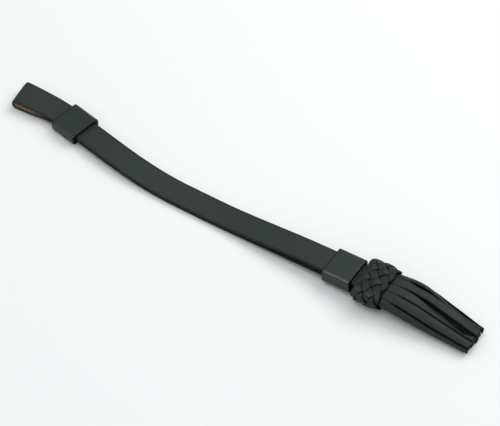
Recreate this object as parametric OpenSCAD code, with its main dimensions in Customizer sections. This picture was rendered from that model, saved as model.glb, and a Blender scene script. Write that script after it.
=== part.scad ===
// Leather sword knot, lying on its resting plane: a strap doubled back on itself into a loop,
// two keepers that slide along it, and a woven knot that holds a tassel of twelve strands.
// Millimetres, +Z up. The origin is the centre of the footprint, on the resting plane.
// The strap runs along X, with the loop at -X and the tassel at +X.

/* [Strap] */
// Width of the strap
strap_w = 25.4; // [24:0.1:25.6]
// Thickness of one ply of the strap
ply_t = 2.3; // [1.8:0.1:2.4]
// Free space between the two plies where they lie together
ply_gap = 0.3; // [0.2:0.05:0.4]
// Length of the straight stretch from the knot to the bend
straight_a_len = 210; // [200:1:220]
// Length of the gentle bend that the strap flexes in
bend_len = 83; // [78:1:90]
// Length of the straight stretch that the loop keeper slides on
straight_b_len = 54; // [50:1:58]
// Length of the loop beyond that stretch
loop_len = 53; // [50:1:56]
// Height of the free space inside the loop
loop_inner_h = 5.2; // [4.8:0.1:6]

/* [Keepers] */
// Thickness of the leather of both keepers
keeper_t = 2.4; // [2:0.1:2.6]
// Length of the keeper by the loop
loop_keeper_len = 28; // [26:1:30]
// Length of the keeper by the knot
slide_keeper_len = 28; // [24:1:30]
// Diameter of the waxed thread
thread_d = 0.6; // [0.4:0.1:0.8]
// Stitches across the butt seam of each keeper
seam_stitches = 6; // [4:1:8]

/* [Knot] */
// Width of the woven knot
knot_w = 46; // [44:0.5:48]
// Height of the woven knot
knot_h = 25.4; // [24:0.2:26]
// Length of the woven knot
knot_len = 29; // [27:1:30]
// Width of the rolled collar inside the knot
collar_w = 37.6; // [37:0.1:38]
// Height of the rolled collar inside the knot
collar_h = 16.6; // [16.4:0.1:17]

/* [Tassel] */
// Thickness of the leather of the fringe
fringe_t = 2; // [1.6:0.1:2]
// Strands in the outer ring
ring_strands = 10; // [8:1:12]
// Free space between neighbouring strands
strand_gap = 0.4; // [0.3:0.05:0.6]
// Length of the strands beyond the knot
tassel_len = 86; // [82:1:90]

/* [Hidden] */

// Where the middle of the head stands, on plan
head_x = 149.36;
head_y = -8.16;
// Headings of the strap on plan, in degrees: knot side, keeper side, and at the tip of the loop
yaw_a = 0.75;
yaw_b = 11.9;
yaw_c = -2.2;
// Length beyond the keeper over which the heading turns towards the tip of the loop
loop_bend_len = 21;
// Roll of the loop's tip, with the far edge up
tip_roll = 6.5;
// Height of the lower ply above the resting plane at the tip of the loop
tip_lift = 0.3;
// Upward slope of the strap towards the knot, the length that eases into it,
// and the flat length that lies down beyond the ease
climb = 0.0453;
ease_len = 40;
flat_len = 20;
// Free space between the two plies where the plug spreads them
spread_gap = 4.4;
// Free space between a keeper and the strap it slides on
slide_play = 1.1;
// Height of the strap above the resting plane inside the loop keeper
keeper_lift = keeper_t + slide_play;
// Places along the strap, measured from the head towards the loop
bend_start = straight_a_len;
keeper_start = bend_start + bend_len;
loop_start = keeper_start + straight_b_len;
loop_keeper_at = loop_start - 12;
slide_keeper_at = 35;
spread_from = 165;
spread_to = 56;
// Flat cut that parts the strap's three lengths
part_cut = 0.1;
// Burnished edge bevel of the strap
edge_bevel = 0.5;
stack_h = 2 * ply_t + spread_gap;
stack_drop = 0.8;
head_z = climb * (straight_a_len - flat_len - ease_len / 2) + stack_h / 2 + stack_drop;
climb_deg = atan(climb);
black = "#3a3e3c";
brown_black = "#2a2c2b";
thread_black = "#1c1d1d";
$fn = 48;

// ---------------------------------------------------------------- helpers

// Smooth step from 0 to 1
function ease(t) = let (c = min(max(t, 0), 1)) c * c * (3 - 2 * c);
function mix(a, b, t) = a + (b - a) * t;

// Step along an arc whose heading turns from a0 to a1 degrees over a length
function arc_step(len, a0, a1) =
    a0 == a1 ? len * [-cos(a0), sin(a0)]
    : let (r = len * 180 / (PI * (a1 - a0))) r * [sin(a0) - sin(a1), cos(a0) - cos(a1)];

// Heading of the strap at a distance along it
function plan_yaw(d) = lookup(d, [
    [bend_start, yaw_a], [keeper_start, yaw_b], [loop_start, yaw_b], [loop_start + loop_bend_len, yaw_c]
]);

function leg(d, start, len, a0) =
    let (run = min(max(d - start, 0), len)) arc_step(run, a0, plan_yaw(start + run));

// Point on the strap's middle line, on plan
function plan_point(d) =
    [head_x, head_y]
    + leg(d, 0, straight_a_len, yaw_a)
    + leg(d, bend_start, bend_len, yaw_a)
    + leg(d, keeper_start, straight_b_len, yaw_b)
    + leg(d, loop_start, loop_bend_len, yaw_b)
    + leg(d, loop_start + loop_bend_len, loop_len - loop_bend_len, yaw_c);

function roll_at(d) = tip_roll * ease((d - loop_start) / loop_len);

// Point of the strap at a distance along it, an offset across it and a height
function strap_point(d, across, z) =
    let (p = plan_point(d), a = plan_yaw(d), roll = roll_at(d))
    [
        p.x + across * cos(roll) * sin(a),
        p.y + across * cos(roll) * cos(a),
        z + (across + strap_w / 2) * sin(roll)
    ];

// Solid through a list of rings that all have the same number of points
module loft(rings) {
    n = len(rings);
    m = len(rings[0]);
    sides = [
        for (i = [0 : n - 2], j = [0 : m - 1])
            let (k = (j + 1) % m, a = i * m + j, b = i * m + k, c = a + m, e = b + m)
            each [[a, b, c], [b, e, c]]
    ];
    half_cap = [for (j = [0 : m / 2 - 2]) each [[j + 1, j, m - 1 - j], [m - 2 - j, j + 1, m - 1 - j]]];
    near_cap = half_cap;
    far_cap = [for (f = half_cap) [f[0], f[2], f[1]] + (n - 1) * m * [1, 1, 1]];
    polyhedron(points = [for (r = rings) each r], faces = concat(sides, near_cap, far_cap));
}

// Outline of one ply, as [offset through the ply, offset across the strap]
ply_outline =
    let (h = ply_t / 2, w = strap_w / 2, b = edge_bevel)
    [[-h, b - w], [-h, w - b], [b - h, w], [h - b, w], [h, w - b], [h, b - w], [h - b, -w], [b - h, -w]];

// One ply swept along a path of [distance along the strap, height of its middle]
module ply(path) {
    last = len(path) - 1;
    loft([
        for (i = [0 : last])
            let (step = path[min(i + 1, last)] - path[max(i - 1, 0)], out = [-step.y, step.x] / norm(step))
            [for (q = ply_outline) strap_point(path[i].x + q.x * out.x, q.y, path[i].y + q.x * out.y)]
    ]);
}

// Oval outline with flat top and bottom and round ends
module stadium(w, h) {
    square([w - h, h], center = true);
    for (side = [-1, 1]) translate([side * (w - h) / 2, 0]) circle(d = h);
}

module rounded_rect(w, h, r) {
    square([w - 2 * r, h], center = true);
    square([w, h - 2 * r], center = true);
    for (x = [-1, 1], y = [-1, 1]) translate([x * (w / 2 - r), y * (h / 2 - r)]) circle(r);
}

// Frame of the head: its X runs along the climbing strap towards the tassel
module in_head() {
    translate([head_x, head_y, head_z]) rotate([0, -climb_deg, -yaw_a]) children();
}

// Extrusion along the head's X between two places
module along_head(from, to) {
    translate([from, 0, 0]) rotate([90, 0, 90]) linear_extrude(to - from) children();
}

// ---------------------------------------------------------------- strap

loop_r = (loop_inner_h + ply_t) / 2;
loop_mid_z = loop_r + ply_t / 2 + tip_lift;
stack_mid_z = keeper_lift + ply_t + ply_gap / 2;
loop_turn = loop_start + loop_len - loop_r - ply_t / 2;

// Middle height and half spread of the two plies along the loop side
function loop_mid(d) = mix(stack_mid_z, loop_mid_z, ease((d - loop_start) / (loop_turn - loop_start)));
function loop_half(d) =
    mix((ply_t + ply_gap) / 2, loop_r, ease((d - loop_start) / (loop_turn - loop_start)));

module strap_loop_side() {
    stations = concat([keeper_start + part_cut], [for (i = [0 : 10]) mix(loop_start, loop_turn, i / 10)]);
    lower = [for (d = stations) [d, loop_mid(d) - loop_half(d)]];
    turn = [for (a = [-75 : 15 : 75]) [loop_turn + loop_r * cos(a), loop_mid_z + loop_r * sin(a)]];
    upper = [for (i = [len(stations) - 1 : -1 : 0])
        let (d = stations[i]) [d, loop_mid(d) + loop_half(d)]];
    color(black) ply(concat(lower, turn, upper));
}

// The two plies of the bend, which rise from the resting plane into the loop keeper
module strap_flex_zone() {
    steps = 12;
    color(black)
    for (level = [0, ply_t + ply_gap])
        ply([for (i = [0 : steps])
            let (t = i / steps)
            [mix(bend_start + part_cut, keeper_start - part_cut, t),
             level + ply_t / 2 + keeper_lift * ease(t)]]);
}

// Underside of the lower ply and free space between the plies, at a distance from the head
function under_z(d) =
    let (flat_d = straight_a_len - flat_len, run = flat_d - d)
    run <= 0 ? 0 : run < ease_len ? climb * run * run / (2 * ease_len) : climb * (run - ease_len / 2);
function gap_at(d) = mix(ply_gap, spread_gap, ease((spread_from - d) / (spread_from - spread_to)));

// Side outline of one ply of the knot side, as [distance from the head, height]
function side_outline(stations, upper) =
    let (base = [for (d = stations) [d, under_z(d) + (upper ? ply_t + gap_at(d) : 0)]])
    concat(base, [for (i = [len(base) - 1 : -1 : 0]) base[i] + [0, ply_t]]);

// Places in the head, along its X
mouth_x = 12;
knot_from = mouth_x - knot_len;
collar_from = knot_from + 1.5;
collar_to = mouth_x - 0.4;
ply_end = collar_to - 2.5;

// The straight stretch drawn in the plane of its side view, with X pointing at the loop
module side_view() {
    translate([head_x, head_y, 0]) rotate([90, 0, 180 - yaw_a])
        linear_extrude(strap_w, center = true) children();
}

module strap_tassel_side() {
    stations = [for (d = [-ply_end : 10 : straight_a_len - 10]) d];
    color(black) side_view()
    for (upper = [false, true])
        polygon(side_outline(concat(stations, [straight_a_len]), upper));
}

// Leather filler that holds the two plies apart through the keeper and the knot
plug_from = -46;
plug_margin = 1.5;
plug_play = 0.1;
module spread_plug() {
    plug_w = strap_w - 2 * plug_margin;
    plug_h = spread_gap - plug_play;
    color(brown_black) in_head()
        translate([plug_from, -plug_w / 2, -stack_drop - plug_h / 2])
        cube([ply_end - plug_from, plug_w, plug_h]);
}

// Two rows of waxed thread across the top of the upper ply, at its end inside the collar
module plug_stitches() {
    stitch_len = 3;
    rows = [-4, 2];
    places = [-9 : 4.5 : 9];
    color(thread_black) in_head()
    for (x = rows, y = places)
        translate([x, y - stitch_len / 2, stack_h / 2 - stack_drop + thread_d / 2])
            rotate([-90, 0, 0]) cylinder(d = thread_d, h = stitch_len, $fn = 16);
}

// ---------------------------------------------------------------- keepers

seam_channel_w = 7;
seam_channel_h = thread_d + 0.1;
seam_slit = 0.2;
keeper_inner_r = 1.8;

// Band of leather bent round the strap, with its butt seam underneath
module keeper_band(inner_h, length) {
    inner_w = strap_w + 2 * slide_play;
    outer_h = inner_h + 2 * keeper_t;
    rotate([90, 0, 90]) linear_extrude(length, center = true)
    difference() {
        rounded_rect(inner_w + 2 * keeper_t, outer_h, keeper_t + keeper_inner_r);
        rounded_rect(inner_w, inner_h, keeper_inner_r);
        translate([0, -outer_h / 2]) square([seam_channel_w, 2 * seam_channel_h], center = true);
        translate([0, -outer_h / 2]) square([seam_slit, 3 * keeper_t], center = true);
    }
}

// Threads that cross the butt seam, sunk in its channel
module seam_threads(inner_h, length) {
    end_play = 0.3;
    thread_len = seam_channel_w - 2 * end_play;
    pitch = length / seam_stitches;
    for (i = [0 : seam_stitches - 1])
        translate([(i + 0.5) * pitch - length / 2, -thread_len / 2,
                   seam_channel_h - inner_h / 2 - keeper_t - thread_d / 2])
            rotate([-90, 0, 0]) cylinder(d = thread_d, h = thread_len, $fn = 16);
}

module at_loop_keeper() {
    p = plan_point(loop_keeper_at);
    translate([p.x, p.y, stack_mid_z]) rotate([0, 0, -yaw_b]) children();
}

module at_slide_keeper() {
    in_head() translate([-slide_keeper_at, 0, -stack_drop]) children();
}

loop_keeper_inner_h = 2 * ply_t + ply_gap + 2 * slide_play;
slide_keeper_inner_h = stack_h + 2 * slide_play;

module loop_keeper() {
    color(black) at_loop_keeper() keeper_band(loop_keeper_inner_h, loop_keeper_len);
}

module loop_keeper_stitches() {
    color(thread_black) at_loop_keeper() seam_threads(loop_keeper_inner_h, loop_keeper_len);
}

module slide_keeper() {
    color(black) at_slide_keeper() keeper_band(slide_keeper_inner_h, slide_keeper_len);
}

module slide_keeper_stitches() {
    color(thread_black) at_slide_keeper() seam_threads(slide_keeper_inner_h, slide_keeper_len);
}

// ---------------------------------------------------------------- knot

// Uncut edge of the fringe, rolled a little over one turn round the strap's end
module fringe_collar() {
    inner_w = collar_w - 2 * fringe_t;
    inner_h = collar_h - 2 * fringe_t;
    color(black) in_head() along_head(collar_from, collar_to) {
        difference() {
            stadium(collar_w, collar_h);
            stadium(inner_w, inner_h);
        }
        translate([0, (inner_h - fringe_t) / 2]) square([inner_w - inner_h, fringe_t], center = true);
    }
}

// Turns of waxed thread that bind the collar down, under the lace
whipping_turns = 7;
whipping_t = 0.7;
module fringe_whipping() {
    pitch = 1;
    turn_w = 0.9;
    first = (knot_from + mouth_x - whipping_turns * pitch) / 2;
    color(thread_black) in_head()
    for (i = [0 : whipping_turns - 1])
        along_head(first + i * pitch, first + i * pitch + turn_w)
            difference() {
                stadium(collar_w + 2 * whipping_t, collar_h + 2 * whipping_t);
                stadium(collar_w, collar_h);
            }
}

// Outline of the knot at a place along it, with sides that curve in towards both ends
knot_end_inset = 5;
knot_end_arc = 0.06;
knot_fullness = 0.3;
knot_squareness = 0.8;
function knot_ring(x, points) =
    let (t = (x - knot_from) / knot_len,
         swell = pow(sin(180 * mix(knot_end_arc, 1 - knot_end_arc, t)), knot_fullness),
         w = knot_w / 2 - knot_end_inset * (1 - swell), h = knot_h / 2 - knot_end_inset * (1 - swell))
    [for (i = [0 : points - 1])
        let (a = 360 * i / points, c = cos(a), s = sin(a))
        [x, w * sign(c) * pow(abs(c), knot_squareness), h * sign(s) * pow(abs(s), knot_squareness)]];

// Woven lace, as the closed sleeve that its two layers fill
module knot_lace() {
    slices = 10;
    points = 32;
    play = 0.1;
    color(black) in_head() difference() {
        loft([for (i = [0 : slices]) knot_ring(knot_from + knot_len * i / slices, points)]);
        along_head(knot_from - 1, mouth_x + 1)
            stadium(collar_w + 2 * whipping_t + 2 * play, collar_h + 2 * whipping_t + 2 * play);
    }
}

// ---------------------------------------------------------------- tassel

hinge_x = mouth_x + 1;

// Shape of the tassel along its length, each as [part of the length, value]:
// the width and height of its outside, and the sideways and upward place of its middle
tassel_w = [[0, 37.6], [0.15, 41], [0.35, 41.5], [0.7, 36], [1, 30.5]];
tassel_h = [[0, 16.6], [0.15, 18], [0.35, 17.5], [0.7, 13], [1, 10]];
tassel_y = [[0, 0], [0.15, 1.2], [0.35, 2], [0.7, 0.4], [1, -1.8]];
tassel_z = [[0, 0], [0.15, -1.9], [0.35, -4.9], [0.7, -9.4], [1, -12.3]];

// Point on an oval ring, at a distance round it from the top middle and an offset outwards.
// half is half the flat length and r the radius of the round ends.
function oval_point(s, off, half, r) =
    let (round_len = PI * r, total = 4 * half + 2 * round_len, q = s - total * floor(s / total))
    q < half ? [q, r + off]
    : q < half + round_len ?
        let (a = 180 * (q - half) / round_len) [half + (r + off) * sin(a), (r + off) * cos(a)]
    : q < 3 * half + round_len ? [2 * half + round_len - q, -r - off]
    : q < 3 * half + 2 * round_len ?
        let (a = 180 * (q - 3 * half - round_len) / round_len)
        [-half - (r + off) * sin(a), -(r + off) * cos(a)]
    : [q - total, r + off];

// Section of one strand of the ring, at a part t of its length
ring_shift = -2.3;
top_strand = 3;
function strand_ring(index, t, sheet) =
    let (h = lookup(t, tassel_h), r = (h - fringe_t) / 2, half = (lookup(t, tassel_w) - h) / 2,
         pitch = (4 * half + 2 * PI * r) / ring_strands,
         middle = pitch * (top_strand - index) + ring_shift, w = pitch - strand_gap,
         across = [for (i = [0 : sheet]) middle + w * (i / sheet - 0.5)],
         x = hinge_x + tassel_len * t, o = fringe_t / 2,
         outer = [for (s = across) oval_point(s, o, half, r)],
         inner = [for (i = [sheet : -1 : 0]) oval_point(across[i], -o, half, r)])
    [for (p = concat(outer, inner)) [x, p.x + lookup(t, tassel_y), p.y + lookup(t, tassel_z)]];

// Round nose of a strand, on the line that the strand swings about, a little thinner than the strand
nose_len = 4;
nose_inset = 0.2;
module nose(angle, sheet_t) {
    rotate([-angle, 0, 0]) rotate([-90, 0, 0])
        cylinder(d = sheet_t - nose_inset, h = nose_len, center = true, $fn = 24);
}

// Slope of the ring round its middle, at the foot of one strand
function foot_point(index) =
    let (r = (collar_h - fringe_t) / 2, half = (collar_w - collar_h) / 2,
         pitch = (4 * half + 2 * PI * r) / ring_strands)
    oval_point(pitch * (top_strand - index) + ring_shift, 0, half, r);
function foot_angle(index) =
    let (p = foot_point(index), half = (collar_w - collar_h) / 2, flat = min(max(p.x, -half), half))
    atan2(p.x - flat, p.y);

module ring_strand(index) {
    slices = 14;
    sheet = 4;
    p = foot_point(index);
    color(black) in_head() {
        loft([for (i = [0 : slices]) strand_ring(index, i / slices, sheet)]);
        translate([hinge_x, p.x, p.y]) nose(foot_angle(index), fringe_t);
    }
}

// Strand from the inner turn of the collar, which lies flat inside the ring
inner_t = fringe_t - 0.4;
inner_w = 8;
module inner_strand(side) {
    slices = 10;
    foot_z = collar_h / 2 - 1.5 * fringe_t;
    y = side * (inner_w + strand_gap) / 2;
    color(black) in_head() {
        loft([for (i = [0 : slices])
            let (t = i / slices, x = hinge_x + tassel_len * t, my = y + lookup(t, tassel_y),
                 mz = foot_z * (1 - ease(1.5 * t)) + lookup(t, tassel_z))
            [for (c = [[-1, 1], [1, 1], [1, -1], [-1, -1]])
                [x, my + c.x * inner_w / 2, mz + c.y * inner_t / 2]]]);
        translate([hinge_x, y, foot_z]) nose(0, inner_t);
    }
}

strap_loop_side();
strap_flex_zone();
strap_tassel_side();
spread_plug();
plug_stitches();
loop_keeper();
loop_keeper_stitches();
slide_keeper();
slide_keeper_stitches();
fringe_collar();
fringe_whipping();
knot_lace();
ring_strand(1);  // strand_01
ring_strand(2);  // strand_02
ring_strand(3);  // strand_03
ring_strand(4);  // strand_04
ring_strand(5);  // strand_05
ring_strand(6);  // strand_06
ring_strand(7);  // strand_07
ring_strand(8);  // strand_08
ring_strand(9);  // strand_09
ring_strand(10);  // strand_10
inner_strand(1);  // strand_11
inner_strand(-1);  // strand_12
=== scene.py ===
"""The looks of the leather sword knot: doubled strap, two keepers, woven knot and tassel.

Sizes below are in millimetres and match the CAD source. Meshes are made in millimetres in the row
frame and scaled to metres as they are built.
"""

import math

import bpy
import numpy as np
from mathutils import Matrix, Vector, noise


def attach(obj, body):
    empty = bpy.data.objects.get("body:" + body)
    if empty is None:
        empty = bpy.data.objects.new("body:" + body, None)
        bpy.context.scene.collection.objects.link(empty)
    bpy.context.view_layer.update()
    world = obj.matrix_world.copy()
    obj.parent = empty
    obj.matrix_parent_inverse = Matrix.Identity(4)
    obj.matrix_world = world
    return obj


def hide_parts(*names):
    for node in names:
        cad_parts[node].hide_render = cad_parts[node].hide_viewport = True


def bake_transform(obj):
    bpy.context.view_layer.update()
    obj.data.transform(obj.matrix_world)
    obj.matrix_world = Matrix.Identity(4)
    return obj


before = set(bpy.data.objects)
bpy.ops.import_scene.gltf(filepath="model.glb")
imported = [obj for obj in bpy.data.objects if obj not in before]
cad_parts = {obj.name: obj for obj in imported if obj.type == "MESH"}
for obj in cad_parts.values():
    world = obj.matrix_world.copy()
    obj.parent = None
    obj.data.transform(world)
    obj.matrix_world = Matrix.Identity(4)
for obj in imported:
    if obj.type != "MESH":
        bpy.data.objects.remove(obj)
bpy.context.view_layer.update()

MM = 0.001
SHARP_ANGLE = math.radians(38)
# Seeds of the smooth random values, one for each thing that wavers
STRAP_SEED, PLUG_SEED, SEAM_SEED = 3, 11, 17
LOOP_KEEPER_SEED, SLIDE_KEEPER_SEED = 5, 8
LACE_WIDTH_SEED, LACE_LEAN_SEED = 23, 29
STRAND_TWIST_SEED, STRAND_SKIN_SEED = 40, 60

# Strap
STRAP_W = 25.4
PLY_T = 2.3
PLY_GAP = 0.3
LEGS = {"bend": 210.0, "keeper": 293.0, "loop": 347.0, "end": 368.0, "tip": 400.0}
LOOP_R = 3.75
LOOP_MID_Z = 5.2
YAW_HEAD, YAW_KEEPER, YAW_TIP = 0.75, 11.9, -2.2
TIP_ROLL = 6.5
CLIMB, EASE_LEN, FLAT_FROM = 0.0453, 40.0, 190.0
SPREAD_FROM, SPREAD_TO, SPREAD_GAP = 165.0, 56.0, 4.4
STRAP_END = -9.1
# Keepers
KEEPER_T = 2.4
KEEPER_INNER_R = 1.8
PLAY = 1.1
KEEPER_LIFT = KEEPER_T + PLAY
LOOP_KEEPER_AT, LOOP_KEEPER_LEN = 335.0, 28.0
SLIDE_KEEPER_AT, SLIDE_KEEPER_LEN = 35.0, 28.0
STITCHES = 6
THREAD_R = 0.3
# Head
HEAD = Vector((149.36, -8.16, 13.0))
STACK_H = 2 * PLY_T + SPREAD_GAP
STACK_DROP = 0.8
KNOT_FROM, KNOT_LEN = -17.0, 29.0
KNOT_W, KNOT_H = 46.0, 25.4
COLLAR_FROM, COLLAR_TO, COLLAR_W, COLLAR_H = -15.5, 11.6, 37.6, 16.6
FRINGE_T = 2.0
PLUG_FROM = -46.0
# Tassel
HINGE_X = 13.0
TASSEL_LEN = 86.0
RING_SHIFT = -2.3
RING_STRANDS = 10


# ---------------------------------------------------------------- maths


def ease(t):
    c = min(max(t, 0.0), 1.0)
    return c * c * (3 - 2 * c)


def mix(a, b, t):
    return a + (b - a) * t


def spaced(a, b, count):
    """count plain numbers from a to b."""
    return [mix(a, b, i / (count - 1)) for i in range(count)]


def stepped(a, b, step):
    """Plain numbers from a to b, about step apart."""
    return spaced(a, b, max(2, round((b - a) / step) + 1))


def angles(*degrees):
    return [math.radians(d) for d in degrees]


def table(t, rows):
    """Straight-line value at t of a table of (t, value)."""
    return float(np.interp(t, [r[0] for r in rows], [r[1] for r in rows]))


def smooth_table(t, rows):
    """Eased value at t of a table of (t, value)."""
    for (a, va), (b, vb) in zip(rows, rows[1:]):
        if t <= b:
            return mix(va, vb, ease((t - a) / (b - a)))
    return rows[-1][1]


def wobble(seed, t, scale):
    """Smooth random value of about -1 to 1, the same on every run."""
    row_step, layer_step = 7.31, 3.17
    return noise.noise(Vector((t * scale, seed * row_step, seed * layer_step)))


# ---------------------------------------------------------------- meshes


class Shape:
    """Points in millimetres with their faces, material indices and edge wear, which on the strap also holds
    painted shade.
    """

    def __init__(self):
        self.points, self.faces, self.mats, self.wear = [], [], [], []

    def add(self, points, faces, wear, mats=None):
        base = len(self.points)
        self.points.extend(tuple(p) for p in points)
        self.faces.extend(tuple(base + i for i in f) for f in faces)
        self.wear.extend(wear)
        self.mats.extend(mats if mats is not None else [0] * len(faces))

    def build(self, name, materials):
        """The mesh object, with its rest place in mm and its edge wear, painted shade included, kept for the
        materials.
        """
        mesh = bpy.data.meshes.new(name)
        mesh.from_pydata([tuple(c * MM for c in p) for p in self.points], [], self.faces)
        mesh.attributes.new("rest", "FLOAT_VECTOR", "POINT").data.foreach_set(
            "vector", np.array(self.points, np.float32).ravel()
        )
        mesh.attributes.new("wear", "FLOAT", "POINT").data.foreach_set(
            "value", np.array(self.wear, np.float32)
        )
        for m in materials:
            mesh.materials.append(m)
        mesh.polygons.foreach_set("material_index", self.mats)
        mesh.polygons.foreach_set("use_smooth", [True] * len(mesh.polygons))
        mesh.set_sharp_from_angle(angle=SHARP_ANGLE)
        mesh.update()
        obj = bpy.data.objects.new(name, mesh)
        bpy.context.scene.collection.objects.link(obj)
        return obj


def loft(shape, rings, wear, closed=False, mats=None):
    """Skin over rings of equal length. wear is one value per ring point. mats is one per ring side."""
    n, m = len(rings), len(rings[0])
    faces, face_mats = [], []
    for i in range(n if closed else n - 1):
        for j in range(m):
            k, up = (j + 1) % m, ((i + 1) % n) * m
            faces.append((i * m + j, i * m + k, up + k, up + j))
            face_mats.append(mats[j] if mats else 0)
    if not closed:
        for j in range(m // 2 - 1):
            cap = (j + 1, j, m - 1 - j, m - 2 - j)
            faces.append(cap)
            faces.append(tuple((n - 1) * m + i for i in reversed(cap)))
            face_mats.extend([0, 0])
    points = [p for r in rings for p in r]
    shape.add(points, faces, list(wear) * n, face_mats)


def strip_outline(width, thick, edge_r, crown=0.0, face_points=5):
    """Section of a leather strip as (across, up, wear), from the left edge over the top and back."""
    most_rounded = 0.45
    r = min(edge_r, most_rounded * thick)
    arc = [(math.cos(a), math.sin(a)) for a in angles(0, 45, 90)]
    # Darkening of the rounded edges: partly edge wear, partly painted shade that draws dark outlines along
    # the edges
    arc_wear_and_shade = [0.8, 1.0, 0.95]
    flat = width / 2 - r
    face = [flat * math.sin(math.pi / 2 * t) for t in spaced(-1, 1, face_points + 2)[1:-1]]
    left = [(-flat - r * c, thick / 2 - r + r * s, w) for (c, s), w in zip(arc, arc_wear_and_shade)]
    right = [(-a, u, w) for a, u, w in reversed(left)]
    top = left + [(a, thick / 2 + crown * (1 - (a / flat) ** 2), 0.0) for a in face] + right
    bottom = left + [(a, thick / 2, 0.0) for a in face] + right
    return top + [(a, -u, w) for a, u, w in reversed(bottom)]


def tube(shape, path, radius, sides=8):
    """Round thread along a path of points, drawn in a little at both ends."""
    end_size = 0.55
    path = [Vector(p) for p in path]
    last = len(path) - 1
    side = None
    rings = []
    for i, p in enumerate(path):
        tangent = (path[min(i + 1, last)] - path[max(i - 1, 0)]).normalized()
        if side is None:
            side = tangent.orthogonal().normalized()
        side = (side - tangent * side.dot(tangent)).normalized()
        other = tangent.cross(side)
        size = radius if 0 < i < last else radius * end_size
        turns = [2 * math.pi * (k + 0.5) / sides for k in range(sides)]
        rings.append([p + size * (math.cos(a) * side + math.sin(a) * other) for a in turns])
    loft(shape, rings, [0.0] * sides)


# ---------------------------------------------------------------- places


def arc_step(length, a0, a1):
    """Step on plan along an arc whose heading turns from a0 to a1 degrees."""
    straight = 1e-9
    if length <= 0 or abs(a1 - a0) < straight:
        a = math.radians(a0)
        return Vector((-math.cos(a), math.sin(a))) * length
    r = length / math.radians(a1 - a0)
    b0, b1 = math.radians(a0), math.radians(a1)
    return Vector((math.sin(b0) - math.sin(b1), math.cos(b0) - math.cos(b1))) * r


# Heading of the strap on plan at each place where it changes
YAW_TABLE = [
    (LEGS["bend"], YAW_HEAD),
    (LEGS["keeper"], YAW_KEEPER),
    (LEGS["loop"], YAW_KEEPER),
    (LEGS["end"], YAW_TIP),
]
# Straight and curved stretches as (from, to, heading at the start)
LEG_LIST = [
    (0.0, LEGS["bend"], YAW_HEAD),
    (LEGS["bend"], LEGS["keeper"], YAW_HEAD),
    (LEGS["keeper"], LEGS["loop"], YAW_KEEPER),
    (LEGS["loop"], LEGS["end"], YAW_KEEPER),
    (LEGS["end"], LEGS["tip"], YAW_TIP),
]


def plan_yaw(d):
    return table(d, YAW_TABLE)


def plan_point(d):
    """Place on plan of the strap's middle line, at a distance from the head towards the loop."""
    p = Vector((HEAD.x, HEAD.y)) + min(d, 0.0) * arc_step(1.0, YAW_HEAD, YAW_HEAD)
    for start, end, yaw in LEG_LIST:
        run = min(max(d - start, 0.0), end - start)
        p += arc_step(run, yaw, plan_yaw(start + run))
    return p


def strap_point(d, across, z):
    """Row-frame place on the strap. The loop end rolls a little, with its far edge up."""
    p, a = plan_point(d), math.radians(plan_yaw(d))
    roll = math.radians(TIP_ROLL * ease((d - LEGS["loop"]) / (LEGS["tip"] - LEGS["loop"])))
    flat = across * math.cos(roll)
    lift = (across + STRAP_W / 2) * math.sin(roll)
    return (p.x + flat * math.sin(a), p.y + flat * math.cos(a), z + lift)


HEAD_YAW, HEAD_PITCH = math.radians(-YAW_HEAD), -math.atan(CLIMB)


def in_head(x, y, z):
    """Row-frame place of a point given in the head's frame, whose X runs up the strap to the tassel."""
    flat = x * math.cos(HEAD_PITCH) + z * math.sin(HEAD_PITCH)
    up = -x * math.sin(HEAD_PITCH) + z * math.cos(HEAD_PITCH)
    c, s = math.cos(HEAD_YAW), math.sin(HEAD_YAW)
    return (HEAD.x + flat * c - y * s, HEAD.y + flat * s + y * c, HEAD.z + up)


def in_loop_keeper(x, y, z):
    """Row-frame place of a point given in the loop keeper's frame."""
    p, a = plan_point(LOOP_KEEPER_AT), math.radians(-YAW_KEEPER)
    lift = KEEPER_LIFT + PLY_T + PLY_GAP / 2
    return (p.x + x * math.cos(a) - y * math.sin(a), p.y + x * math.sin(a) + y * math.cos(a), lift + z)


def in_slide_keeper(x, y, z):
    return in_head(x - SLIDE_KEEPER_AT, y, z - STACK_DROP)


# ---------------------------------------------------------------- materials


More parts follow.
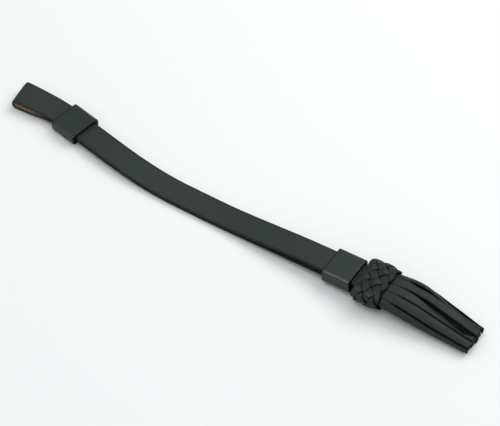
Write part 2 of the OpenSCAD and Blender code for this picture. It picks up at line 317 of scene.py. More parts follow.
class Nodes:
    """Short way to write a node tree."""

    def __init__(self, name):
        self.material = bpy.data.materials.new(name)
        self.material.use_nodes = True
        self.tree = self.material.node_tree
        self.shader = self.tree.nodes["Principled BSDF"]

    def node(self, kind, **settings):
        made = self.tree.nodes.new(kind)
        for key, value in settings.items():
            setattr(made, key, value)
        return made

    def link(self, source, target):
        self.tree.links.new(source, target)

    def attribute(self, name, output):
        return self.node("ShaderNodeAttribute", attribute_name=name).outputs[output]

    def noise(self, scale, detail=3.0, stretch=None, roughness=0.55):
        """Noise over the piece's rest place in mm. scale is in features per mm."""
        place = self.attribute("rest", "Vector")
        if stretch:
            mapping = self.node("ShaderNodeMapping")
            mapping.inputs["Scale"].default_value = stretch
            self.link(place, mapping.inputs["Vector"])
            place = mapping.outputs["Vector"]
        n = self.node("ShaderNodeTexNoise")
        n.inputs["Scale"].default_value = scale
        n.inputs["Detail"].default_value = detail
        n.inputs["Roughness"].default_value = roughness
        self.link(place, n.inputs["Vector"])
        return n.outputs["Fac"]

    def cells(self, scale):
        """Distance from the edges of small random cells."""
        v = self.node("ShaderNodeTexVoronoi", feature="DISTANCE_TO_EDGE")
        v.inputs["Scale"].default_value = scale
        self.link(self.attribute("rest", "Vector"), v.inputs["Vector"])
        return v.outputs["Distance"]

    def ramp(self, value, low, high, to_low=0.0, to_high=1.0):
        """The value carried from the range low to high over to the range to_low to to_high."""
        m = self.node("ShaderNodeMapRange")
        ends = {"From Min": low, "From Max": high, "To Min": to_low, "To Max": to_high}
        for key, number in ends.items():
            m.inputs[key].default_value = number
        self.link(value, m.inputs["Value"])
        return m.outputs["Result"]

    def maths(self, kind, a, b):
        m = self.node("ShaderNodeMath", operation=kind)
        for socket, value in zip(m.inputs, (a, b)):
            if isinstance(value, (int, float)):
                socket.default_value = value
            else:
                self.link(value, socket)
        return m.outputs["Value"]

    def blend(self, factor, first, second):
        """Mix of two colours, each a tuple or another node's output."""
        first_socket, second_socket, result_socket = 6, 7, 2
        m = self.node("ShaderNodeMix", data_type="RGBA")
        self.link(factor, m.inputs["Factor"])
        for number, value in ((first_socket, first), (second_socket, second)):
            if isinstance(value, tuple):
                m.inputs[number].default_value = (*value, 1.0)
            else:
                self.link(value, m.inputs[number])
        return m.outputs[result_socket]

    def bump(self, height, strength, distance_mm, under=None):
        b = self.node("ShaderNodeBump")
        b.inputs["Strength"].default_value = strength
        b.inputs["Distance"].default_value = distance_mm * MM
        self.link(height, b.inputs["Height"])
        if under is not None:
            self.link(under, b.inputs["Normal"])
        return b.outputs["Normal"]


SHEEN_TINT = (0.84, 1.0, 0.95, 1.0)


def shade(colour, factor):
    return tuple(c * factor for c in colour)


def leather(name, face, worn, rough, sheen, grain=1.9, pebbling=0.35, creasing=0.2, stretch=None):
    """Finished leather: fine pebbled grain, soft creases, colour drift and worn, duller edges; on the strap
    the wear attribute that drives them also holds painted shade.

    face and worn are its colours, grain is in pebbles per mm, and stretch draws the creases out.
    """
    darkest, lightest, mottling, worn_sheen, worn_rough = 0.76, 1.25, 0.35, 0.3, 0.1
    drift_scale, mottle_scale, wear_scale, crease_scale = 0.045, 0.5, 0.35, 0.28
    crease_depth_mm, pebble_depth_mm = 0.5, 0.05
    n = Nodes(name)
    n.shader.inputs["Specular Tint"].default_value = SHEEN_TINT
    drift = n.ramp(n.noise(drift_scale, 4.0), 0.3, 0.7)
    mottle = n.ramp(n.noise(mottle_scale, 4.0), 0.35, 0.7)
    colour = n.blend(drift, shade(face, darkest), face)
    colour = n.blend(n.maths("MULTIPLY", mottle, mottling), colour, shade(face, lightest))
    patchy = n.ramp(n.noise(wear_scale, 3.0), 0.3, 0.65, 0.7, 1.0)
    # The wear attribute is edge wear, and on the strap also painted shade: both darken and dull the surface
    wear = n.maths("MULTIPLY", n.attribute("wear", "Fac"), patchy)
    n.link(n.blend(wear, colour, worn), n.shader.inputs["Base Color"])
    n.link(n.ramp(wear, 0.0, 1.0, sheen, worn_sheen * sheen), n.shader.inputs["Specular IOR Level"])
    pebble = n.cells(grain)
    creases = n.noise(crease_scale, 5.0, stretch, 0.62)
    gloss = n.maths("ADD", n.ramp(creases, 0.3, 0.7, -0.06, 0.07), n.ramp(pebble, 0.0, 0.25, 0.07, 0.0))
    gloss = n.maths("ADD", gloss, n.maths("MULTIPLY", wear, worn_rough))
    n.link(n.maths("ADD", gloss, rough), n.shader.inputs["Roughness"])
    soft = n.bump(creases, creasing, crease_depth_mm)
    pebbles = n.bump(n.ramp(pebble, 0.0, 0.22), pebbling, pebble_depth_mm, under=soft)
    n.link(pebbles, n.shader.inputs["Normal"])
    return n.material


def flesh_side(name):
    """Inner side of the strap: short fibres, tan with darker patches, and black at its worn edges and
    wherever black is painted on as shade between the plies.
    """
    dark_tan, pale_tan, fibre_brown = (0.34, 0.2, 0.15), (0.6, 0.42, 0.33), (0.22, 0.12, 0.085)
    # Black for the worn edges, and painted shade on the inner side between the plies
    wear_and_painted_shade = (0.006, 0.006, 0.006)
    n = Nodes(name)
    patches = n.ramp(n.noise(0.12, 5.0), 0.3, 0.7)
    fibres = n.noise(3.2, 6.0, (0.4, 1.0, 1.0), 0.7)
    colour = n.blend(patches, dark_tan, pale_tan)
    colour = n.blend(n.ramp(fibres, 0.35, 0.7, 0.0, 0.5), colour, fibre_brown)
    # The wear attribute turns the side black: edge wear, and painted shade everywhere but inside the loop
    n.link(n.blend(n.attribute("wear", "Fac"), colour, wear_and_painted_shade), n.shader.inputs["Base Color"])
    n.link(n.ramp(fibres, 0.3, 0.7, 0.72, 0.95), n.shader.inputs["Roughness"])
    n.link(n.bump(fibres, 0.5, 0.12), n.shader.inputs["Normal"])
    return n.material


def waxed_thread(name):
    """Black waxed thread with the slanting ridges of its twist."""
    furrow, ridge = (0.006, 0.006, 0.0065), (0.02, 0.021, 0.022)
    n = Nodes(name)
    wave = n.node("ShaderNodeTexWave", wave_type="BANDS", bands_direction="DIAGONAL")
    wave.inputs["Scale"].default_value = 0.9
    wave.inputs["Distortion"].default_value = 0.6
    n.link(n.attribute("rest", "Vector"), wave.inputs["Vector"])
    twist = wave.outputs["Fac"]
    n.link(n.blend(twist, furrow, ridge), n.shader.inputs["Base Color"])
    n.link(n.ramp(n.noise(2.0), 0.3, 0.7, 0.42, 0.62), n.shader.inputs["Roughness"])
    n.link(n.bump(twist, 0.6, 0.08), n.shader.inputs["Normal"])
    return n.material


def floor_paper(name):
    """Matt white backdrop paper."""
    white = (0.898, 0.913, 0.911, 1.0)
    n = Nodes(name)
    place = n.node("ShaderNodeTexCoord").outputs["Object"]
    tooth = n.node("ShaderNodeTexNoise")
    tooth.inputs["Scale"].default_value = 900.0
    n.link(place, tooth.inputs["Vector"])
    n.shader.inputs["Base Color"].default_value = white
    n.shader.inputs["Specular IOR Level"].default_value = 0.2
    n.link(n.ramp(tooth.outputs["Fac"], 0.3, 0.7, 0.85, 0.95), n.shader.inputs["Roughness"])
    return n.material


BLACK = (0.0115, 0.0158, 0.0146)
KEEPER_BLACK = (0.006, 0.0092, 0.0085)
LACE_BLACK = (0.0085, 0.0115, 0.0108)
FRINGE_BLACK = (0.0098, 0.0136, 0.0125)
PLUG_BLACK = (0.006, 0.0066, 0.0064)
EDGE_BLACK = (0.003, 0.004, 0.0038)
LACE_EDGE_BLACK = (0.002, 0.003, 0.0028)
PLUG_EDGE_BLACK = (0.003, 0.003, 0.003)

strap_leather = leather("strap_leather", BLACK, EDGE_BLACK, rough=0.46, sheen=0.41)
keeper_leather = leather("keeper_leather", KEEPER_BLACK, EDGE_BLACK, rough=0.36, sheen=0.5)
lace_leather = leather(
    "lace_leather", LACE_BLACK, LACE_EDGE_BLACK, rough=0.44, sheen=0.28, grain=2.4, pebbling=0.3, creasing=0.3
)
fringe_leather = leather(
    "fringe_leather", FRINGE_BLACK, EDGE_BLACK, rough=0.5, sheen=0.31,
    grain=2.1, pebbling=0.25, creasing=0.3, stretch=(0.25, 1.0, 1.0),
)
plug_leather = leather("plug_leather", PLUG_BLACK, PLUG_EDGE_BLACK, rough=0.66, sheen=0.25)
tan_flesh = flesh_side("tan_flesh")
thread = waxed_thread("thread")


# ---------------------------------------------------------------- strap


def under_z(d):
    """Height of the underside of the lower ply on the knot side."""
    run = FLAT_FROM - d
    if run <= 0:
        return 0.0
    return CLIMB * run * run / (2 * EASE_LEN) if run < EASE_LEN else CLIMB * (run - EASE_LEN / 2)


def ply_heights(d):
    """Heights of the middles of the lower and the upper ply."""
    if d <= LEGS["bend"]:
        gap = mix(PLY_GAP, SPREAD_GAP, ease((SPREAD_FROM - d) / (SPREAD_FROM - SPREAD_TO)))
        low = under_z(d) + PLY_T / 2
        return low, low + PLY_T + gap
    if d <= LEGS["loop"]:
        low = KEEPER_LIFT * ease((d - LEGS["bend"]) / (LEGS["keeper"] - LEGS["bend"])) + PLY_T / 2
        return low, low + PLY_T + PLY_GAP
    t = ease((d - LEGS["loop"]) / (LOOP_TURN - LEGS["loop"]))
    mid = mix(KEEPER_LIFT + PLY_T + PLY_GAP / 2, LOOP_MID_Z, t)
    half = mix((PLY_T + PLY_GAP) / 2, LOOP_R, t)
    return mid - half, mid + half


LOOP_TURN = LEGS["tip"] - LOOP_R - PLY_T / 2
PLY_STEP = 2.0
TURN_STEPS = 14
STRAP_EDGE_R = 0.85
STRAP_CROWN = 0.08
# Where the outer face starts to round down towards the edges, and how far it drops
ROUNDED_FROM, ROUNDED_BY = 8.4, 0.38


def strap_path():
    """The strip's run as (distance from the head, height), out along the lower ply and back on the upper."""
    stations = stepped(STRAP_END, LOOP_TURN, PLY_STEP)
    turn = spaced(-math.pi / 2, math.pi / 2, TURN_STEPS + 1)[1:-1]
    lower = [(d, ply_heights(d)[0]) for d in stations]
    middle = [(LOOP_TURN + LOOP_R * math.cos(a), LOOP_MID_Z + LOOP_R * math.sin(a)) for a in turn]
    upper = [(d, ply_heights(d)[1]) for d in reversed(stations)]
    return lower + middle + upper


def outer_rounding(across):
    """How far the outer face of a ply drops below its full thickness, at a place across the strap."""
    rounded = max(0.0, (abs(across) - ROUNDED_FROM) / (STRAP_W / 2 - ROUNDED_FROM))
    return ROUNDED_BY * rounded ** 2 - STRAP_CROWN * (1 - (2 * across / STRAP_W) ** 2)


def inner_painted_shade(d):
    """How much of the inner side is painted black as painted shade between the plies: all of it, apart from
    the inside of the loop.
    """
    fade = 8.0
    return 1 - ease((d - LEGS["loop"]) / fade)


def edge_wear_and_painted_shade(across, wear, outer):
    """Wear at a place on the section, with painted light added: a wide line of painted shade along the far
    edge of the outer face, and the near edge's wear cut back as a painted highlight.
    """
    # Painted highlight: the near edge keeps only this share of its wear, so it shows lighter.
    near_edge_painted_light = 0.75
    # Painted shade: a dark line across this band along the far edge of the outer face.
    line_from, line_w = 10.6, 1.2
    if across < 0:
        return near_edge_painted_light * wear
    return max(wear, ease((across - line_from) / line_w)) if outer else wear


def make_strap():
    """The whole strip in one piece, bending between the head and the loop end."""
    sway_by, sway_scale = 0.12, 0.05
    path = strap_path()
    last = len(path) - 1
    outline = strip_outline(STRAP_W, PLY_T, STRAP_EDGE_R, face_points=7)
    half = len(outline) // 2
    rings = []
    for i, (d, z) in enumerate(path):
        ahead, behind = path[min(i + 1, last)], path[max(i - 1, 0)]
        step = np.subtract(ahead, behind)
        size = math.hypot(*step)
        out = (-float(step[1]) / size, float(step[0]) / size)
        sway = sway_by * wobble(STRAP_SEED, i, sway_scale)
        ring = []
        for across, up, _ in outline:
            through = up if up > 0 else up + outer_rounding(across)
            ring.append(strap_point(d + through * out[0], across + sway, z + through * out[1]))
        rings.append(ring)
    edge_points = 2
    flesh = [1 if edge_points <= j < half - 1 - edge_points else 0 for j in range(len(outline))]
    shape = Shape()
    loft(shape, rings, [0.0] * len(outline), mats=flesh)
    # Edge wear with painted light: a painted shade line along the far edge, the near edge kept lighter as a
    # painted highlight, and the inner side painted black as shade between the plies, apart from inside the
    # loop
    wear_and_painted_shade = [edge_wear_and_painted_shade(across, w, j >= half) for j, (across, _, w) in enumerate(outline)]
    shape.wear = [max(w, inner_painted_shade(d)) if j < half else w for d, _ in path for j, w in enumerate(wear_and_painted_shade)]
    strap = shape.build("strap", [strap_leather, tan_flesh])
    start, end = (plan_point(LEGS[leg]).to_3d() * MM for leg in ("bend", "keeper"))
    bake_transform(strap)
    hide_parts("strap_loop_side", "strap_flex_zone", "strap_tassel_side")


def make_plug():
    """Filler between the plies: two layers of leather glued flesh to flesh."""
    layers, margin, play, edge_r, stations = 2, 1.5, 0.1, 0.4, 30
    sway_by, sway_scale = 0.15, 0.15
    layer_t = (SPREAD_GAP - play) / layers
    outline = strip_outline(STRAP_W - 2 * margin, layer_t, edge_r)
    shape = Shape()
    for layer in range(layers):
        z = -STACK_DROP + (layer - (layers - 1) / 2) * layer_t
        rings = []
        for x in spaced(PLUG_FROM, -STRAP_END, stations):
            sway = sway_by * wobble(PLUG_SEED + layer, x, sway_scale)
            rings.append([in_head(x, a + sway, z + u) for a, u, _ in outline])
        loft(shape, rings, [w for _, _, w in outline])
    plug = shape.build("plug", [plug_leather])
    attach(plug, "head")
    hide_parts("spread_plug")


# ---------------------------------------------------------------- keepers


def band_loop(half_w, half_h, r, seam_depths):
    """Outline round a keeper as (y, z), with the seam's furrow along the middle of its underside."""
    corner = [(r * math.sin(a), r * math.cos(a)) for a in angles(*spaced(0, 90, 7))]
    fy, fz = half_w - r, half_h - r
    top = [(y, half_h) for y in spaced(-fy, fy, 9)[1:-1]]
    right = [(fy + y, fz + z) for y, z in corner]
    side = [(half_w, z) for z in spaced(fz, -fz, 5)[1:-1]]
    low_right = [(fy + z, -fz - y) for y, z in corner]
    under = [(y, -half_h + depth) for y, depth in seam_depths]
    low_left = [(-y, z) for y, z in reversed(low_right)]
    left_side = [(-y, z) for y, z in reversed(side)]
    left = [(-y, z) for y, z in reversed(right)]
    return top + right + side + low_right + under + low_left + left_side + left


# Half of the furrow that holds the seam, as (from its middle, depth)
CHANNEL_DEPTH = 0.7
CHANNEL = ((3.5, 0.0), (3.2, CHANNEL_DEPTH), (1.6, CHANNEL_DEPTH), (0.35, CHANNEL_DEPTH), (0.0, 1.1))
# Profile of the wall at one end of a keeper: (back from the end, part of the wall from inside to outside)
LIP = (
    (2.0, 0.0), (0.5, 0.0), (0.15, 0.06), (0.0, 0.25),
    (0.0, 0.7), (0.15, 0.9), (0.6, 1.0), (2.0, 1.0),
)


def whole_channel(scale):
    """The furrow from side to side, with its depth scaled."""
    rows = [(y, depth * scale) for y, depth in CHANNEL]
    return rows + [(-y, depth) for y, depth in reversed(rows[:-1])]


def keeper_wall(half):
    """The wall's lengthways section as (x, part from inside to outside), over the face and back inside."""
    flat_from, stations = LIP[-1][0], 9
    right = [(half - back, part) for back, part in LIP]
    left = [(-x, part) for x, part in reversed(right)]
    between = spaced(half - flat_from, flat_from - half, stations)[1:-1]
    return right + [(x, 1.0) for x in between] + left + [(x, 0.0) for x in reversed(between)]


def keeper_swell(seed, x, y, z, length, half_w, inner_h):
    """How far a keeper's face stands out: soft ripples, and sides drawn in at mid length."""
    ripple, ripple_scale, skew_y, skew_z = 0.12, 0.12, 2.3, 1.7
    drawn_in, narrowness, flat_margin = 0.22, 8, 1
    if z < 0 and abs(y) < half_w - flat_margin:
        return 0.0
    at_middle = 1 - (2 * x / length) ** 2
    dip = drawn_in * at_middle * math.exp(-((z / inner_h) ** 2) * narrowness) if abs(y) > half_w else 0.0
    return ripple * wobble(seed, x + skew_y * y + skew_z * z, ripple_scale) - dip


def keeper_wear(from_end, part):
    """Wear of a keeper's wall: most at the rim and on the hidden inner face, none on the outer face."""
    rim, rim_edge, rim_edge_wear = 0.3, 0.7, 0.6
    if part == 0 or from_end < rim:
        return 1.0
    return rim_edge_wear if from_end < rim_edge else 0.0


def make_keeper(name, place, length, inner_h, body, seed):
    """Band of leather bent round the strap and stitched edge to edge underneath."""
    half_w = STRAP_W / 2 + PLAY
    inner = band_loop(half_w, inner_h / 2, KEEPER_INNER_R, whole_channel(0.0))
    outer_r = KEEPER_T + KEEPER_INNER_R
    outer = band_loop(half_w + KEEPER_T, inner_h / 2 + KEEPER_T, outer_r, whole_channel(1.0))
    wear = []
    rings = []
    for x, part in keeper_wall(length / 2):
        ring = []
        for (y0, z0), (y1, z1) in zip(inner, outer):
            y, z = mix(y0, y1, part), mix(z0, z1, part)
            out = Vector((y1 - y0, z1 - z0)).normalized()
            swell = part * keeper_swell(seed, x, y, z, length, half_w, inner_h)
            ring.append(place(x, y + swell * out.x, z + swell * out.y))
        rings.append(ring)
        wear.extend([keeper_wear(length / 2 - abs(x), part)] * len(inner))
    shape = Shape()
    loft(shape, rings, [0.0] * len(inner), closed=True)
    shape.wear = wear
    keeper = shape.build(name, [keeper_leather])
    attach(keeper, body)
    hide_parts(body)


def stitch_dive(t, depth, start):
    """How far a stitch dives into the leather at t, which runs from -1 to 1 along it."""
    return depth * max(0.0, (abs(t) - start) / (1 - start)) ** 2


def make_seam(name, place, length, inner_h, body):
    """Stitches across the butt seam, each diving into the leather at both ends."""
    reach, depth, dive_from, slant_by = 3.0, 0.55, 0.75, 0.25
    bottom = -inner_h / 2 - KEEPER_T
    sink = CHANNEL_DEPTH - THREAD_R
    shape = Shape()
    pitch = length / STITCHES
    for i in range(STITCHES):
        x = (i + 0.5) * pitch - length / 2
        slant = slant_by * wobble(SEAM_SEED, i, 1.7)
        path = []
        for t in spaced(-1, 1, 11):
            dive = stitch_dive(t, depth, dive_from)
            path.append(place(x + slant * t, reach * t, bottom + sink + dive))
        tube(shape, path, THREAD_R)
    seam = shape.build(name, [thread])
    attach(seam, body)
    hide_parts(body + "_stitches")


# ---------------------------------------------------------------- knot


def oval_point(s, off, half, r):
    """Point round an oval ring, s mm from the top middle towards +Y, and off mm outwards."""
    bend = math.pi * r
    total = 4 * half + 2 * bend
    q = s % total
    if q < half:
        return q, r + off
    if q < half + bend:
        a = (q - half) / r
        return half + (r + off) * math.sin(a), (r + off) * math.cos(a)
    if q < 3 * half + bend:
        return 2 * half + bend - q, -r - off
    if q < 3 * half + 2 * bend:
        a = (q - 3 * half - bend) / r
        return -half - (r + off) * math.sin(a), -(r + off) * math.cos(a)
    return q - total, r + off


LACE_W, LACE_T = 8.1, 1.6
LEADS, BIGHTS = 5, 8
LACES = math.gcd(LEADS, BIGHTS)
LACE_STEP = 0.8
LACE_CROWN = 0.25
LACE_EDGE_R = 0.72
# How far the lace stands out or in where it crosses itself
OVER = 0.85
# Which way the lace passes at each row of crossings, from the strap side to the tassel side
ROWS = (0.0, 1.0, -1.0, 1.0, -1.0, 0.0)
# How pointed the turns at both edges are, from 0 for round to 1 for pointed
BIGHT_SHARPNESS = 0.7
# Turn of the whole lace round the knot, in radians
FIRST_BIGHT = 0.6


def knot_half(x):
    """Half width and half height of the lace's middle layer at a place along the knot."""
    end_inset, end_share, fullness = 5, 0.06, 0.3
    t = min(max((x - KNOT_FROM) / KNOT_LEN, 0.0), 1.0)
    swell = math.sin(math.pi * mix(end_share, 1 - end_share, t)) ** fullness
    inset = end_inset * (1 - swell) + OVER + LACE_T / 2 + LACE_CROWN
    return KNOT_W / 2 - inset, KNOT_H / 2 - inset


def knot_point(turn, x, off):
    """Point on the knot's skin in the head's frame, and the way out. turn is in radians from the top."""
    corner = 0.86
    w, h = knot_half(x)
    r = corner * h
    flat = w - r
    along = turn / (2 * math.pi) * (4 * flat + 2 * math.pi * r)
    y, z = oval_point(along, 0.0, flat, r)
    y_out, z_out = oval_point(along, 1.0, flat, r)
    out = Vector((0.0, y_out - y, z_out - z)).normalized()
    return Vector((x, y + out.y * off, z * h / r + out.z * off)), out


def lace_centre(travel):
    """Centre line of the lace at travel radians round the knot, and how far it stands out."""
    phase = travel * BIGHTS / LEADS
    reach = (KNOT_LEN - LACE_W) / 2
    wave = math.asin(BIGHT_SHARPNESS * math.sin(phase)) / math.asin(BIGHT_SHARPNESS)
    x = KNOT_FROM + KNOT_LEN / 2 - reach * wave
    half_turns = (phase - math.pi / 2) / math.pi
    lap = math.floor(half_turns)
    along = half_turns - lap
    rising = lap % 2 == 0
    row = along * LEADS if rising else (1 - along) * LEADS
    k = min(int(row), LEADS - 1)
    level = mix(ROWS[k], ROWS[k + 1], ease(row - k))
    return x, level * (1 if rising else -1)


def add_lace(shape, number):
    """One closed lace of the knot. The next one runs one bight further round."""
    turns, slope = LEADS // LACES, 1.3
    width_varies, leans = 0.03, 0.18
    w, h = knot_half(KNOT_FROM + KNOT_LEN / 2)
    count = int(slope * turns * (4 * (w - h) + 2 * math.pi * h) / LACE_STEP)
    centres = []
    for i in range(count):
        travel = 2 * math.pi * turns * i / count
        x, level = lace_centre(travel)
        centres.append(knot_point(travel + FIRST_BIGHT + 2 * math.pi * number / BIGHTS, x, OVER * level))
    outline = strip_outline(LACE_W, LACE_T, LACE_EDGE_R, LACE_CROWN)
    rings = []
    for i, (p, out) in enumerate(centres):
        ahead, behind = centres[(i + 1) % count][0], centres[i - 1][0]
        tangent = (ahead - behind).normalized()
        across = out.cross(tangent).normalized()
        normal = tangent.cross(across)
        swell = 1 + width_varies * wobble(LACE_WIDTH_SEED + number, i, 0.06)
        lean = leans * wobble(LACE_LEAN_SEED + number, i, 0.045)
        rings.append([
            in_head(*(p + across * (a * swell) + normal * (u + lean * a / LACE_W)))
            for a, u, _ in outline
        ])
    loft(shape, rings, [w for _, _, w in outline], closed=True)


def make_knot():
    """The woven lace. These leads and bights take as many laces as their common divisor."""
    shape = Shape()
    for number in range(LACES):
        add_lace(shape, number)
    knot = shape.build("knot", [lace_leather])
    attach(knot, "head")
    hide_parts("knot_lace")


def make_collar():
    """Uncut edge of the fringe, rolled a little over one turn round the strap's end."""
    r = (COLLAR_H - FRINGE_T) / 2
    half = (COLLAR_W - COLLAR_H) / 2
    around = 4 * half + 2 * math.pi * r
    under_lap, step_in, play, edge_r = 14.0, 8.0, 0.05, 0.6
    middle, width = (COLLAR_FROM + COLLAR_TO) / 2, COLLAR_TO - COLLAR_FROM
    outline = strip_outline(width, FRINGE_T - play, edge_r)
    rings = []
    for s in stepped(-under_lap, around, 1.0):
        sink = -(FRINGE_T + play) * (1 - ease(s / step_in))
        rings.append([in_head(middle + a, *oval_point(s, u + sink, half, r)) for a, u, _ in outline])
    shape = Shape()
    loft(shape, rings, [w for _, _, w in outline])
    collar = shape.build("collar", [fringe_leather])
    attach(collar, "head")
    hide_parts("fringe_collar")


def make_whipping():
    """Thread wound tight round the collar, in one run."""
    turns, radius, step, lead_in = 7, 0.34, 1.6, 0.45
    half = (COLLAR_W - COLLAR_H) / 2
    r = COLLAR_H / 2 + radius
    around = 4 * half + 2 * math.pi * r
    first = KNOT_FROM + (KNOT_LEN - turns) / 2 + lead_in
    path = []
    for s in stepped(0, turns * around, step):
        y, z = oval_point(s, 0.0, half, r)
        path.append(in_head(first + (turns - 1) * s / (turns * around), y, z))
    shape = Shape()
    tube(shape, path, radius, sides=6)
    whipping = shape.build("whipping", [thread])
    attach(whipping, "head")
    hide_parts("fringe_whipping")


def make_plug_stitches():
    """Two rows of stitches through the upper ply and the plug, at their end inside the collar."""
    rows, row_half, in_row = (-4.0, 2.0), 9, 5
    reach, depth, dive_from, sunk = 1.5, 0.5, 0.6, 0.05
    top = STACK_H / 2 - STACK_DROP
    shape = Shape()
    for x in rows:
        for y in spaced(-row_half, row_half, in_row):
            path = []
            for t in spaced(-1, 1, 9):
                dive = stitch_dive(t, depth, dive_from)
                path.append(in_head(x, y + reach * t, top + THREAD_R - sunk - dive))
            tube(shape, path, THREAD_R)
    stitches = shape.build("plug_thread", [thread])
    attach(stitches, "head")
    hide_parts("plug_stitches")


# ---------------------------------------------------------------- tassel

# Shape of the tassel along its length as (part of the length, value), the same as the CAD's
TASSEL_W = ((0, 37.6), (0.15, 41), (0.35, 41.5), (0.7, 36), (1, 30.5))
TASSEL_H = ((0, 16.6), (0.15, 18), (0.35, 17.5), (0.7, 13), (1, 10))
TASSEL_Y = ((0, 0), (0.15, 1.2), (0.35, 2), (0.7, 0.4), (1, -1.8))
TASSEL_Z = ((0, 0), (0.15, -1.9), (0.35, -4.9), (0.7, -9.4), (1, -12.3))
# Each strand's share of the way round at the tip, from the far side over the top and back underneath
TIP_SHARES = (6.2, 8.0, 7.0, 7.6, 7.4, 6.2, 5.9, 5.9, 5.9, 5.9)
# How much shorter than the longest strand each one is cut
CUT_SHORT = (2.2, 0.3, 0.8, 0.2, 1.2, 2.4, 1.6, 0.7, 1.9, 1.1)
STRAND_FROM = COLLAR_TO + 0.02
STRAND_STEPS = 48
SLIT_FROM, SLIT_FULL = 0.06, 0.2
STRAND_GAP = 0.5


def soft_table(t, rows):
    """Table value with its corners rounded off."""
    reach = 0.06
    return sum(table(min(max(t + o, 0.0), 1.0), rows) for o in (-reach, 0.0, reach)) / 3


def strand_sink(index, t, v):
    """How far a strand's skin sinks into the tassel, at part t of the length and v from -1 near to 1 far."""
    far = (1 + v) / 2
    if index == 1:
        return 3.2 * smooth_table(t, ((0.2, 0), (0.6, 1), (0.75, 1), (1, 0.6)))
    if index == 2:
        return -0.6 * smooth_table(t, ((0.2, 0), (0.6, 1), (1, 0.4))) * (1 - far)
    if index == 3:
        return 3.8 * smooth_table(t, ((0.16, 0), (0.5, 0.6), (0.84, 1), (0.97, 0.1), (1, 0))) * far ** 1.2
    if index == 6:
        return 1.8 * smooth_table(t, ((0.04, 0), (0.14, 1), (0.36, 1), (0.5, 0), (1, 0)))
    return 0.0


def strand_narrowing(index, t):
    """Extra free space in mm along a strand's far edge."""
    if index == 2:
        return 1.8 * smooth_table(t, ((0.08, 0), (0.28, 1), (0.45, 0.8), (0.7, 0), (1, 0)))
    if index == 3:
        return 2.4 * smooth_table(t, ((0.15, 0), (0.55, 0.6), (0.85, 1), (1, 0.4)))
    return 0.0


def tassel_part(x):
    """Part of the tassel's length at x in the head's frame, from 0 at the knot to 1 at the longest tip."""
    return min(max((x - HINGE_X) / TASSEL_LEN, 0.0), 1.0)


def strand_span(index, t, around):
    """Where a ring strand's near and far edges lie round the tassel, in mm from the top middle."""
    total, first_far_tip, settled = sum(TIP_SHARES), 0.265, 0.7
    near_root, far_root = (2.5 - index) / RING_STRANDS, (3.5 - index) / RING_STRANDS
    far_tip = first_far_tip - sum(TIP_SHARES[: index - 1]) / total
    near_tip = far_tip - TIP_SHARES[index - 1] / total
    turn = ease(t / settled)
    near, far = mix(near_root, near_tip, turn), mix(far_root, far_tip, turn)
    return near * around + RING_SHIFT, far * around + RING_SHIFT


def strand_ring(index, x, end_pull):
    """Section of one ring strand at x in the head's frame. end_pull draws the cut end in, in mm."""
    closed_gap, closed_edge_r, open_edge_r, open_crown = 0.02, 0.1, 0.75, 0.12
    sway_by, twist_by, skin_by = 0.35, 0.16, 0.15
    sway_scale, twist_scale, skin_scale = 0.035, 0.03, 0.06
    t = tassel_part(x)
    h, w = soft_table(t, TASSEL_H), soft_table(t, TASSEL_W)
    r, half = (h - FRINGE_T) / 2, (w - h) / 2
    near, far = strand_span(index, t, 4 * half + 2 * math.pi * r)
    open_by = ease((t - SLIT_FROM) / (SLIT_FULL - SLIT_FROM))
    gap = mix(closed_gap, STRAND_GAP, open_by)
    width = far - near - gap - strand_narrowing(index, t)
    middle = near + gap / 2 + width / 2
    edge_r, crown = mix(closed_edge_r, open_edge_r, open_by), open_crown * open_by
    outline = strip_outline(width - end_pull, FRINGE_T - end_pull, edge_r, crown)
    sway = sway_by * wobble(index, x, sway_scale) * open_by
    twist = twist_by * wobble(index + STRAND_TWIST_SEED, x, twist_scale) * ease(t * 1.5)
    ring = []
    for a, u, _ in outline:
        v = 2 * a / width
        skin = skin_by * wobble(index + STRAND_SKIN_SEED, x, skin_scale) * open_by
        off = u - strand_sink(index, t, v) + twist * v + skin
        y, z = oval_point(middle + a + sway * 0.5, off, half, r)
        ring.append(in_head(x, y + soft_table(t, TASSEL_Y), z + soft_table(t, TASSEL_Z)))
    return ring, [w for _, _, w in outline]


def strand_stations(start, end):
    """Places along a strand as (x, mm by which it is drawn in), close together at its cut end."""
    cut = 0.4
    body = [(x, 0.0) for x in spaced(start, end - cut, STRAND_STEPS)]
    nose = [(end - cut * (1 - math.sin(a)), cut * (1 - math.cos(a))) for a in angles(35, 65, 90)]
    return body + nose


def darken_cut_end(shape, ring_size):
    """Gives the last rings of the shape the colour of a cut edge."""
    end_rings = 3
    shape.wear[-end_rings * ring_size :] = [1.0] * (end_rings * ring_size)


def finish_strand(shape, index):
    """Builds the strand's object."""
    name = f"strand_{index:02d}"
    strand = shape.build("fringe_" + name, [fringe_leather])
    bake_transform(strand)
    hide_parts(name)


INNER_T, INNER_W, INNER_GAP, INNER_CUT_SHORT = FRINGE_T - 0.4, 8.0, 0.4, 1.5


def inner_ring(side, x, end_pull):
    """Section of a strand cut from the inner turn of the collar, which lies flat inside the ring."""
    edge_r, crown, drop_rate = 0.5, 0.08, 1.5
    t = tassel_part(x)
    foot_z = COLLAR_H / 2 - 1.5 * FRINGE_T
    y = side * (INNER_W + INNER_GAP) / 2 + soft_table(t, TASSEL_Y)
    z = foot_z * (1 - ease(drop_rate * t)) + soft_table(t, TASSEL_Z)
    outline = strip_outline(INNER_W - end_pull, INNER_T - end_pull, edge_r, crown)
    return [in_head(x, y + a, z + u) for a, u, _ in outline], [w for _, _, w in outline]


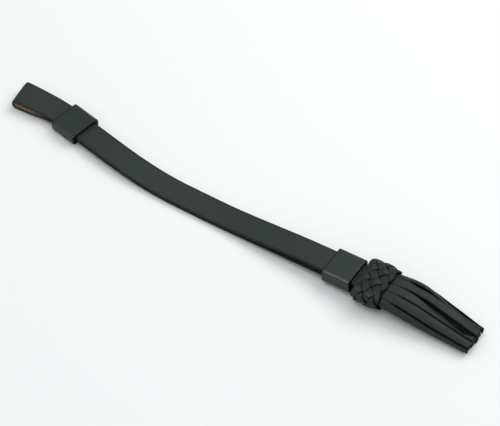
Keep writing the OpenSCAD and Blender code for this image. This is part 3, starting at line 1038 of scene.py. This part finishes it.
def make_strand(index, length, section, which):
    """Strand of a length from the hinge, through the sections that section(which, x, end_pull) gives."""
    shape = Shape()
    rings, wear = [], None
    for x, end_pull in strand_stations(STRAND_FROM, HINGE_X + length):
        ring, wear = section(which, x, end_pull)
        rings.append(ring)
    loft(shape, rings, wear)
    darken_cut_end(shape, len(wear))
    finish_strand(shape, index)


# ---------------------------------------------------------------- stage


def aim(obj, place, target):
    """Puts a light or the camera at its place, looking at the target."""
    obj.location = Vector(place)
    obj.rotation_euler = (Vector(target) - Vector(place)).to_track_quat("-Z", "Y").to_euler()


def add_light(name, place, target, size, watts, colour):
    data = bpy.data.lights.new(name, "AREA")
    data.shape = "RECTANGLE"
    data.size, data.size_y = size
    data.energy = watts
    data.color = colour
    light = bpy.data.objects.new(name, data)
    aim(light, place, target)
    bpy.context.scene.collection.objects.link(light)
    return light


def make_floor():
    reach, below = 6.0, 0.0002
    mesh = bpy.data.meshes.new("floor")
    corners = [(-reach, -reach, 0), (reach, -reach, 0), (reach, reach, 0), (-reach, reach, 0)]
    mesh.from_pydata(corners, [], [(0, 1, 2, 3)])
    mesh.materials.append(floor_paper("floor_paper"))
    floor = bpy.data.objects.new("floor", mesh)
    floor.location.z = -below
    bpy.context.scene.collection.objects.link(floor)


def make_lighting():
    """A pale studio: an even surround, a large key light from the far side, and a panel overhead."""
    world = bpy.data.worlds.new("studio")
    world.use_nodes = True
    background = world.node_tree.nodes["Background"]
    background.inputs["Color"].default_value = (0.97, 0.99, 1.0, 1.0)
    background.inputs["Strength"].default_value = 0.58
    bpy.context.scene.world = world
    add_light("key", (0.55, 1.35, 1.6), (0, 0, 0), (1.7, 1.2), 21.5, (1.0, 0.99, 0.98))
    add_light("top", (-0.2, -0.2, 2.2), (0, 0, 0), (1.8, 1.8), 11.0, (1.0, 1.0, 1.0))
    # The low front panel only draws the sheen along rounded edges, so that it casts no second shadow
    front = add_light("front", (-0.565, -1.48, 1.04), (0.1, 0, 0), (0.55, 0.34), 16.0, (1.0, 1.0, 1.0))
    front.visible_diffuse = False


CAMERA_AT = (1.02656, -1.62366, 2.2981)
CAMERA_TARGET = (0.00436, 0.01154, 0.0)
CAMERA_LENS = 241.9
SENSOR_W = 36.0


def make_camera():
    data = bpy.data.cameras.new("camera")
    data.sensor_width = SENSOR_W
    data.lens = CAMERA_LENS
    data.clip_start, data.clip_end = 0.1, 50.0
    camera = bpy.data.objects.new("camera", data)
    aim(camera, CAMERA_AT, CAMERA_TARGET)
    bpy.context.scene.collection.objects.link(camera)
    bpy.context.scene.camera = camera


make_strap()
make_plug()
make_plug_stitches()
loop_inner_h = 2 * PLY_T + PLY_GAP + 2 * PLAY
slide_inner_h = STACK_H + 2 * PLAY
make_keeper(
    "keeper_by_loop", in_loop_keeper, LOOP_KEEPER_LEN, loop_inner_h, "loop_keeper", LOOP_KEEPER_SEED
)
make_seam("loop_seam_thread", in_loop_keeper, LOOP_KEEPER_LEN, loop_inner_h, "loop_keeper")
make_keeper(
    "keeper_by_knot", in_slide_keeper, SLIDE_KEEPER_LEN, slide_inner_h, "slide_keeper", SLIDE_KEEPER_SEED
)
make_seam("slide_seam_thread", in_slide_keeper, SLIDE_KEEPER_LEN, slide_inner_h, "slide_keeper")
make_collar()
make_whipping()
make_knot()
for number, cut_short in enumerate(CUT_SHORT, 1):
    make_strand(number, TASSEL_LEN - cut_short, strand_ring, number)
for number, side in ((RING_STRANDS + 1, 1), (RING_STRANDS + 2, -1)):
    make_strand(number, TASSEL_LEN - INNER_CUT_SHORT - side, inner_ring, side)
make_floor()
make_lighting()
make_camera()
bpy.context.scene.view_settings.view_transform = "Standard"
